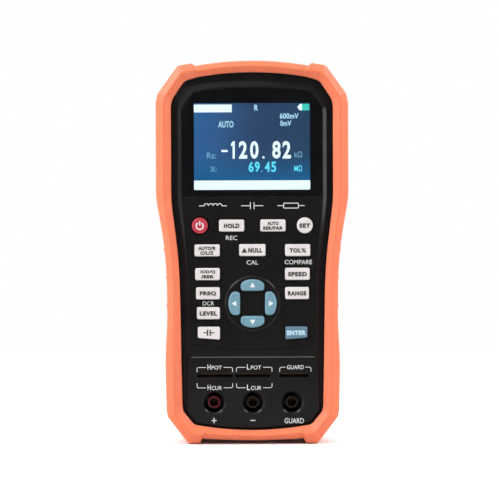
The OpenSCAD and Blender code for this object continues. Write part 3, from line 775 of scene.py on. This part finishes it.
def legend(node):
    """The printed sign on a key."""
    slot = KEYS[node][1]
    xs, zs = zip(*OUTLINES[node])
    x, z = (min(xs) + max(xs)) / 2, (min(zs) + max(zs)) / 2
    y = mm_box(node)[0][1] - 0.01
    low = z - 0.15  # where the words have their middle
    if node in LEGENDS:
        parts = [lettering(y, text, x, low + up, tall, wide, BOLD)
                 for text, up, tall, wide in LEGENDS[node]]
    elif node == "key_tolerance":
        parts = [lettering(y, "TOL", x - 1.2, low, 2.2, 5.6, BOLD),
                 lettering(y, "%", x + 2.95, low, 2.2, 2.3, 0.03)]
    elif node == "key_null":
        parts = [lettering(y, "NULL", x + 1.4, low, 2.3, 6.9, BOLD),
                 drawn([[[(x - 5.3, z - 1.3), (x - 2.6, z - 1.3), (x - 3.95, z + 1.15)]]], y)]
    elif node == "key_power":  # a broken ring and a bar
        parts = [drawn([stroke(arc(x, z - 0.1, 1.7, 125, 415), 0.62),
                        stroke([(x, z + 0.1), (x, z + 2.2)], 0.62)], y)]
    elif node == "key_fixture":  # a capacitor's sign
        z += 0.2
        leads = [stroke([(x + a, z), (x + b, z)], 0.55) for a, b in ((-2.7, -0.65), (0.65, 2.7))]
        plates = [stroke([(x + u, z - 1.5), (x + u, z + 1.5)], 0.65) for u in (-0.65, 0.65)]
        parts = [drawn(leads + plates, y)]
    else:  # an arrow
        parts = [drawn([[spun(soften([(-1.35, 7.95), (1.35, 7.95), (0, 10.3)], 0.2, 3), node)]], y)]
    ink = "ink_pale" if node == "key_enter" else "ink_dark" if slot == "key_grey" else "ink_white"
    printed(parts, node + "_legend", ink, node + "_cap")


# ---- front of the case

def window_outline(share, gap=0):
    """An outline just inside the flat face's, cut off straight below the display."""
    line = mix(opening, flat, share)
    base = mm_box("window")[0][2] - gap
    half = len(line) // 2
    right = [p for p in line[:half] if p[1] > base + 1.2]
    left = [p for p in line[half:] if p[1] > base + 1.2]
    x, r = right[-1][0], 0.9
    return right + arc(x - r, base + r, r, 0, -90, 6) + arc(-x + r, base + r, r, -90, -180, 6) + left


def case_sides(name, slot, y0, y1):
    """The side wall of a case half."""
    outer, inner = mix(rim, opening, 0.5), mix(rim, opening, 0.83)
    skin = Skin()
    corners = ((outer, y0), (outer, y1), (inner, y1), (inner, y0))
    rings = [skin.ring(line, y) for line, y in corners]
    skin.run(rings + rings[:1])
    return skin.piece(name, slot)


def front_case():
    skin = Skin()
    # (distance out from the flat face, depth)
    section = soften([(-1.2, 0), (0, 0), (2.05, 1.15), (BEVEL_W, 1.6), (BEVEL_W, SHOULDER - FACE)],
                     [0, 0.12, 0.5, 0.3, 0], 5, closed=False)[1:]
    shell = [skin.ring(mix(flat, raised, d / BEVEL_W), FACE + y) for d, y in section]
    shell += [skin.ring(mix(opening, flat, 0.7), y) for y in (SHOULDER, INNER)]
    skin.run(shell)
    fronts, backs, platform = [], [], []

    def turned_hole(rings):
        skin.run(rings)
        fronts.append(rings[0])
        backs.append(rings[-1])

    def cut(line, front, y, r):
        """A hole from the sheet at depth y to the inside of the face."""
        a, b = skin.opened(line, y, INNER, r)
        front.append(a)
        backs.append(b)

    for node, (kind, _) in KEYS.items():
        hole = grow(OUTLINES[node], KEY_GAP)
        if kind == "round":
            # it sits in a shallow dish
            dish = ((0.75, 0), (0.62, 0.05), (0.1, 0.55), (0, 0.75), (0, INNER - FACE))
            turned_hole([skin.ring(grow(hole, d), FACE + y) for d, y in dish])
        elif kind != "petal":
            cut(hole, fronts, FACE, 0.18)

    # round platform with the arrow keys
    slope = [skin.ring(circle(0, PAD_Z, r, 96), FACE + y) for r, y in (
        (13.75, 0), (13.65, -0.03), (13.5, -0.13), (12.92, -0.58), (12.82, -0.65), (12.7, PAD_TOP - FACE))]
    skin.run(slope)
    fronts.append(slope[0])
    for node in TURNS:
        cut(grow(OUTLINES[node], PETAL_GAP), platform, PAD_TOP, 0.2)
    skin.sheet(slope[-1], platform)

    # shrouds of the sockets
    for x in SOCKETS:
        turned_hole([skin.ring(circle(x, SOCKET_Z, r, 72), FACE + y) for r, y in (
            (5.98, 0), (5.88, 0.05), (5.78, 0.13), (5, 0.78), (4.92, 0.9), (4.88, 16), (3.2, 16),
            (3.2, 17.2), (6.3, 17.2), (6.3, INNER - FACE))])
    for x0, x1 in SLOTS:
        cut(rounded(x1 - x0, SLOT_H, 0.5, (x0 + x1) / 2, SLOT_Z, 4), fronts, FACE, 0.25)

    # shallow bowed groove between the keys and the test slots
    groove = [(29.5 * t, 46 + 2.6 * t * t) for t in (k / 20 - 1 for k in range(41))]
    groove += [(x, z + 0.5) for x, z in groove[::-1]]
    fronts.append(skin.pit(groove, FACE, FACE + 0.3, 0.12, draft=0.08))

    # seat of the window, and the opening in front of the display
    seat, ledge = skin.opened(window_outline(1.06, 0.12), FACE, LEDGE, 0.12)
    view = [skin.ring(rounded(VIEW_W + 3.4, VIEW_H + 2.5, 0.6, 0, VIEW_Z), y) for y in (LEDGE, INNER)]
    skin.run(view)
    skin.sheet(ledge, [view[0]])
    skin.sheet(shell[0], fronts + [seat])
    skin.sheet(shell[-1], backs + [view[1]])
    skin.piece("front_case_face", "case_front", "front_case")

    hole = rounded(5.4, 9.2, 0.9, *PORT)
    carve(case_sides("front_case_sides", "case_front", SHOULDER, 0), [(34, hole), (50, hole)])


def window():
    line = window_outline(1.08)
    pane = Skin()
    pane.slab(line, FACE, FACE + WINDOW_T, 0.12, 0.05)
    pane.piece("window_pane", "window_acrylic", "window")
    border = Skin()
    border.thin([grow(line, -0.1), rounded(VIEW_W - 0.7, VIEW_H - 0.7, 0.4, 0, VIEW_Z)],
                FACE + WINDOW_T + 0.004, FACE + WINDOW_T + 0.03)
    border.piece("window_border", "window_acrylic", mat="window_print")


def display():
    plate("display_panel", 0.6, 0.1, 0.2).piece("display_glass", "display", "display_panel")
    y = mm_box("display_panel")[0][1] - 0.04
    half, bottom, top = VIEW_W / 2, VIEW_Z - VIEW_H / 2, VIEW_Z + VIEW_H / 2

    def bar(xa, za, xb, zb, r=0.1):
        return [rounded(xb - xa, zb - za, r, (xa + xb) / 2, (za + zb) / 2, 2)]

    tip = [(22.2, top - 2.3), (23.6, top - 3.9), (24.6, top - 3.9), (24.6, top - 0.7), (23.6, top - 0.7)]
    white = [drawn([bar(-half, top - 4.7, -9.9, top - 0.9), bar(-half, bottom, half, bottom + 5)], y)]
    number = [("-", -13.5), ("1", -9.2), ("2", -4.4), ("0", 1.1), (".", 5.6), ("8", 12), ("2", 17)]
    white += readout(y, number, 139.9, 8.6, 4.1)
    white.append(drawn([[soften(tip, 0.3, 3)]], y - 0.02))
    cyan = readout(y, [("6", -0.5), ("9", 2.5), (".", 4.7), ("4", 7.5), ("5", 10.6)], 133.3, 5.1, 2.5)
    cyan.append(lettering(y, "MΩ", 22.6, 135.1, 3, 3.9, 0.02))
    # text, x, z, height, width, bold
    units = [("R", 2.1, 164.9, 2.9, 1.9, 0.03), ("600mV", 18.3, 160.8, 2.7, 9.2, 0.02),
             ("0mV", 16.6, 157.2, 2.7, 5.4, 0.02), ("AUTO", -12.8, 156.8, 3.2, 7.5, 0.02)]
    faint = [("Rs:", -19.9, 141.5, 3.1, 4.6, 0.01), ("kΩ", 22.7, 141.9, 2.9, 3.8, 0.01),
             ("X:", -19, 134.7, 2.8, 3.2, 0.01)]
    printed(white, "display_white", "lit_white")
    printed(cyan, "display_cyan", "lit_cyan")
    printed([lettering(y, *row) for row in units], "display_units", "lit_units")
    printed([lettering(y, *row) for row in faint], "display_faint", "lit_dim")
    battery = drawn([bar(24.1, top - 3.9, 28.2, top - 0.7, 0.2)], y)
    printed([battery], "display_battery", "lit_green")


# ---- sockets and printed signs

def sockets():
    for x, node in SOCKETS.items():
        (_, y0, _), (_, y1, _) = mm_box(node)
        slot = "terminal_red" if node.endswith("red") else "terminal_plastic"
        skin = Skin()
        rings = skin.lathe([
            (y0 + 0.25, 2.15), (y0 + 0.06, 2.22), (y0, 2.4), (y0, 2.85), (y0 + 0.08, 3.02), (y0 + 0.3, 3.1),
            (y1 - 1.2, 3.1), (y1 - 1.2, 4.4), (y1, 4.4), (y1, 2.55), (y0 + 0.6, 2.55), (y0 + 0.6, 2.15)
        ], (x, SOCKET_Z))
        skin.run([rings[-1], rings[0]])
        skin.piece(node + "_tube", slot, node, crease=35)
    (_, y0, _), (_, y1, _) = mm_box("socket_sleeves")
    skin = Skin()
    for x in SOCKETS:
        skin.turned([(y0 + 17.4, 2.05), (y0 + 0.3, 2.05), (y0 + 0.05, 2.15), (y0, 2.25), (y0 + 0.1, 2.42),
                     (y0 + 0.3, 2.5), (y1 - 3, 2.5), (y1 - 3, 0.8), (y1 - 0.3, 0.8), (y1, 0.5)],
                    (x, SOCKET_Z), 48)
    skin.piece("socket_sleeves_turned", "contact_brass", "socket_sleeves", crease=35)


def coil(x0, x1, z, r, humps, w):
    """The outline of a coil's sign: half circles of radius r in a line of width w."""
    half = w / 2
    first = (x0 + x1) / 2 - r * (humps - 1)
    meet, lead = math.degrees(math.acos(r / (r + half))), math.degrees(math.asin(half / (r + half)))
    line = [(x0, z - half), (x0, z + half)]
    for k in range(humps):
        last = k == humps - 1
        start, end = 180 - (meet if k else lead), lead if last else meet
        bump = arc(first + 2 * r * k, z, r + half, start, end, 12)
        line += bump if last else bump[:-1]
    line += [(x1, z + half), (x1, z - half), (first + 2 * r * (humps - 1) + r - half, z - half)]
    for k in reversed(range(humps)):
        line += arc(first + 2 * r * k, z, r - half, 0, 180, 12)
    return line + [(first - r + half, z - half)]


def signs():
    y = FACE - 0.005
    # line above the keys: plain signs for a coil, a capacitor and a resistor
    z, w = 116.7, 0.34
    shapes = [[coil(-26, -12.4, z, 1.1, 4, w)]]
    shapes += [stroke(line, w) for line in (
        [(-5.4, z), (-0.9, z)], [(-0.9, z - 1.7), (-0.9, z + 1.7)], [(0.9, z - 1.7), (0.9, z + 1.7)],
        [(0.9, z), (5.4, z)], [(12.4, z), (15.4, z)], [(22.6, z), (25.6, z)])]
    shapes.append(stroke(rounded(7.2, 2.4, 0.25, 19, z, 2), w, closed=True))

    # text, x, z, height, width
    words = [("REC", -10.1, 101, 2.1, 5.6), ("CAL", 0, 88.95, 2.1, 5.6),
             ("COMPARE", 22.5, 89.05, 2.1, 13.3), ("DCR", -21.6, 68.95, 2, 5.6),
             ("GUARD", 20.2, 11.4, 2.5, 9.4)]
    # brackets round the test slots, with the name of the terminal in the middle of each line
    for x0, x1, gap, name in ((-27.3, -9.9, 4.3, "H"), (-8, 9.4, 4.3, "L"), (13.2, 28.5, 4.9, None)):
        xm = (x0 + x1) / 2
        for side, z in ((1, 37.6), (-1, 27.6))[:2 if name else 1]:
            for sx, xe in ((1, x0), (-1, x1)):
                corner = curve_between((xe, z - side * 3), (xe, z), (xm, z), 0.9, 4)
                shapes.append(stroke([(xe, z - side * 2.2)] + corner + [(xm - sx * gap, z)], 0.26))
            if name:
                words += [(name, xm - 2.8, z + 0.2, 2.6, 1.5),
                          ("POT" if side > 0 else "CUR", xm + 0.9, z - 0.1, 1.9, 5)]
            else:
                words.append(("GUARD", xm, z, 2, 8.2))
    # plus and minus below the first two sockets
    shapes += [stroke(line, 0.4) for line in (
        [(-20.3, 11.6), (-17.8, 11.6)], [(-19.05, 10.35), (-19.05, 12.85)], [(-1.25, 11.6), (1.25, 11.6)])]
    letters = [lettering(y, *row) for row in words]
    printed([drawn(shapes, y)] + letters, "front_print", "ink_white")
    # a thin rule above the test slots
    printed([drawn([stroke([(-30, 42.6), (30, 42.6)], 0.24)], y)], "front_rule", "ink_grey")


def usb_port():
    (x0, y0, z0), (x1, y1, z1) = mm_box("usb_port")
    outer = rounded(y1 - y0, z1 - z0, 0.8, *PORT)
    shell = Skin()
    wall = ((x0, 0), (x1 - 0.1, 0), (x1, 0.12), (x1, 0.3), (x1 - 0.1, 0.4), (x0 + 1.5, 0.4))
    shell.bar([(x, grow(outer, -d)) for x, d in wall])
    shell.piece("usb_shell", "tinned_steel", "usb_port")
    core = Skin()
    for x_end, w, h in ((x0 + 1.8, y1 - y0 - 0.9, z1 - z0 - 0.9), (x1 - 1.4, 0.9, z1 - z0 - 3)):
        core.bar([(x, rounded(w, h, 0.3, *PORT, 3)) for x in (x0 + 0.6, x_end)])
    core.piece("usb_core", "tinned_steel", mat="chip_black")


# ---- back

def cross(x, z, reach, half):
    """The outline of a crosshead screw's recess."""
    quarter = [(reach, half), (half, half), (half, reach)]
    upper = quarter + [(-a, b) for a, b in quarter[::-1]]
    return [(x + a, z + b) for a, b in upper + [(a, -b) for a, b in upper[::-1]]]


def rear_case():
    skin = Skin()
    section = soften([(BEVEL_W - 0.35, 0), (BEVEL_W - 0.02, 0), (BEVEL_W, 2.4)], 0.32, 5, closed=False)
    shell = [skin.ring(mix(flat, raised, d / BEVEL_W), BACK - y) for d, y in section]
    inner = RECESS - 2.5
    shell += [skin.ring(mix(rim, opening, 1.15), y) for y in (BACK_SHOULDER, inner)]
    skin.run(shell)
    holes = [skin.pit(circle(x, z, 3.1, 48), BACK, BACK - 2.2, 0.12) for x, z in CASE_SCREWS]
    # the stand's recess, with a finger notch below its foot, and the battery bay in its floor
    half = STAND_X + 0.3
    recess = soften([(half, 122), (-half, 122), (-half, 20.4), (-9, 20.4), (-9, 15.2), (9, 15.2), (9, 20.4),
                     (half, 20.4)], [0.6, 0.6, 1.5, 0.8, 2.2, 2.2, 0.8, 1.5], 5)
    top, floor = skin.opened(recess, BACK, RECESS, 0.3, n=4)
    bay, bay_end = skin.opened(rounded(45.3, 75.3, 0.8, 0, 60), RECESS, inner, 0.15)
    skin.sheet(floor, [bay])
    skin.sheet(shell[0], holes + [top])
    skin.sheet(shell[-1], [bay_end])
    # lugs that hold the stand's pins
    for side in (-1, 1):
        skin.slab(rounded(5, 8, 1, side * (STAND_X + 2.8), HINGE_Z), RECESS - 2, BACK + 1, 0.1, 0.45)
    skin.piece("rear_case_shell", "case_back", "rear_case")
    case_sides("rear_case_sides", "case_back", 0.05, BACK_SHOULDER)


def screws():
    skin = Skin()
    for x, z in CASE_SCREWS:
        skin.slab(circle(x, z, 2.8, 48), BACK - 2.15, BACK - 0.5, 0.1, 0.55,
                  pits=[(cross(x, z, 1.7, 0.42), 0.9, 0.06)])
        skin.turned([(-9.8, 0.9), (-9, 1.5), (BACK - 2.1, 1.5)], (x, z), 24)
    skin.piece("case_screws_turned", "zinc_steel", "case_screws")
    (_, y0, z0), (_, y1, z1) = mm_box("battery_cover_screw")
    at = (0, (z0 + z1) / 2)
    skin = Skin()
    skin.slab(circle(*at, 2.15, 40), y1 - 1, y1, 0.1, 0.12, pits=[(cross(*at, 1.25, 0.32), 0.6, 0.05)])
    skin.turned([(y0, 0.6), (y0 + 0.5, 1), (y1 - 0.9, 1)], at, 24)
    skin.piece("battery_screw_turned", "zinc_steel", "battery_cover_screw")


def battery_cover():
    grooves = [(rounded(18, 1, 0.45, 0, z + 0.5), 0.4, 0.1) for z in range(84, 94, 3)]
    skin = plate("battery_cover", 0.7, 0.1, 0.2, holes=[(circle(0, 26, 2.3, 40), 0.08)], pits=grooves)
    skin.piece("battery_cover_plate", "case_back", "battery_cover")


def label():
    plate("rating_label", 2, 0.02, 0.08).piece("label_film", "label_film", "rating_label")
    (x0, _, z0), (x1, y, z1) = mm_box("rating_label")
    z = (z0 + z1) / 2
    shapes = [stroke(rounded(x1 - x0 - 3, z1 - z0 - 3, 1.2, 0, z), 0.25, closed=True)]
    shapes += [stroke([(-20, z + rise), (20, z + rise)], 0.2) for rise in (6, 2, -2, -6)]
    printed([drawn(shapes, y + 0.01)], "label_rules", "ink_dark")


def stand():
    (x0, _, _), (x1, _, _) = mm_box("tilt_stand")
    y0, y1 = BACK - 3, BACK + 1
    axis = ((y0 + y1) / 2, HINGE_Z)
    low, high = STAND_LOW + 14, HINGE_Z - 8  # ends of the hollow in its outer face
    pits = [(rounded(2 * STAND_X - 8, high - low, 2.5, 0, (high + low) / 2), 0.8, 0.25)]
    pits += [(rounded(24, 1.2, 0.5, 0, STAND_LOW + 4.6 + 3 * k), 0.5, 0.12) for k in range(3)]
    line = soften([(STAND_X, HINGE_Z), (-STAND_X, HINGE_Z), (-STAND_X, STAND_LOW), (STAND_X, STAND_LOW)],
                  [0, 0, 2.6, 2.6], 6)
    skin = Skin()
    skin.slab(line, y0, y1, 0.3, 0.6, pits=pits)
    skin.turned([(-STAND_X, 1.7), (-STAND_X + 0.3, 2), (STAND_X - 0.3, 2), (STAND_X, 1.7)], axis, 40, "x")
    skin.turned([(x0, 1.3), (x0 + 0.3, 1.6), (x1 - 0.3, 1.6), (x1, 1.3)], axis, 32, "x")
    skin.piece("tilt_stand_plate", "case_back", "tilt_stand", body="stand")
    pads = Skin()
    for side in (-1, 1):
        pads.slab(rounded(6, 3.4, 0.7, side * 20, STAND_LOW + 1.3), y0 + 1.05, y1, 0.2, 0.35)
    pads.piece("stand_pads_moulded", "black_foam", "stand_pads", body="stand")


boot()
front_case()
for node in KEYS:
    key(node)
    legend(node)
window()
display()
sockets()
signs()
usb_port()
rear_case()
screws()
battery_cover()
stand()
label()

# The other CAD nodes are inside. Each keeps its shape and gets its own finish.
slots = {s["node"]: s["material_slot"] for s in frame["record"]["subparts"]}
for node, obj in frame["nodes"].items():
    if not obj.hide_render:
        obj.data.materials.clear()
        obj.data.materials.append(FINISHES[slots[node]])


# ---- studio

WHITE = (1, 1, 1, 1)


def stage_floor():
    mesh = bpy.data.meshes.new("floor")
    mesh.from_pydata([(x, y, 0) for x, y in circle(0, 0, 1.2, 96)], [], [tuple(range(96))])
    floor = add_object("floor", mesh)
    pale = finish("floor_pale", [228.5422] * 3, 0.6, vary=0.005)  # 0.78 linear
    mesh.materials.append(pale)
    # its edge fades out, so that no horizon shows
    graph = Graph(pale)
    away = graph.add("VectorMath", "Value", {0: graph.add("TexCoord", "Object")}, operation="LENGTH")
    solid, clear = graph.nodes["Principled BSDF"].outputs["BSDF"], graph.add("BsdfTransparent", "BSDF")
    faded = graph.add("MixShader", "Shader", {"Fac": graph.ranged(away, 0.25, 0.9), 1: solid, 2: clear})
    graph.feed(graph.nodes["Material Output"], {"Surface": faded})


def softbox(name, at, size, power):
    light = bpy.data.lights.new(name, "AREA")
    light.shape = "RECTANGLE"
    light.size, light.size_y = size
    light.energy = power
    obj = add_object(name, light)
    obj.visible_camera = False
    obj.location = at
    middle_of_meter = Vector((0, 0, 0.095))
    obj.rotation_euler = (middle_of_meter - Vector(at)).to_track_quat("-Z", "Y").to_euler()


def studio_world():
    """A white dome, dark straight in front, as a room is behind a camera. The camera sees plain white."""
    scene.world = bpy.data.worlds.new("studio")
    graph = Graph(scene.world)
    ahead = graph.add("SeparateXYZ", "Y", {"Vector": graph.add("TexCoord", "Generated")})
    strength = graph.ranged(ahead, -0.95, -0.5, 0.04, 1)
    dome = graph.add("Background", "Background", {"Color": WHITE, "Strength": strength})
    seen = graph.add("Background", "Background", {"Color": WHITE})
    by_camera = graph.add("LightPath", "Is Camera Ray")
    both = graph.add("MixShader", "Shader", {"Fac": by_camera, 1: dome, 2: seen})
    graph.feed(graph.nodes["World Output"], {"Surface": both})


stage_floor()
softbox("key_box", (-0.6, -0.7, 1), (1.4, 1.4), 12)
softbox("left_rim", (-0.69, -0.2, 0.78), (0.32, 0.4), 6)
softbox("left_edge", (-0.86, -0.24, 0.12), (0.25, 0.5), 1.3)
softbox("right_rim", (0.69, -0.2, 0.78), (0.32, 0.4), 5.2)
softbox("right_strip", (0.78, -0.45, 0.145), (0.08, 0.45), 2)
softbox("left_strip", (-0.8, -0.4, 0.145), (0.1, 0.45), 0.6)
softbox("back_box", (0.2, 0.9, 0.6), (1, 0.6), 5)
studio_world()

camera = bpy.data.cameras.new("camera")
camera.sensor_width = 36
camera.lens = 132.75
eye = add_object("camera", camera)
eye.location = (-0.00116, CREST * MM - 0.9, 0.09503)
eye.rotation_euler = (math.pi / 2, math.radians(0.2), 0)
scene.camera = eye
scene.view_settings.view_transform = "Standard"

bpy.context.view_layer.update()
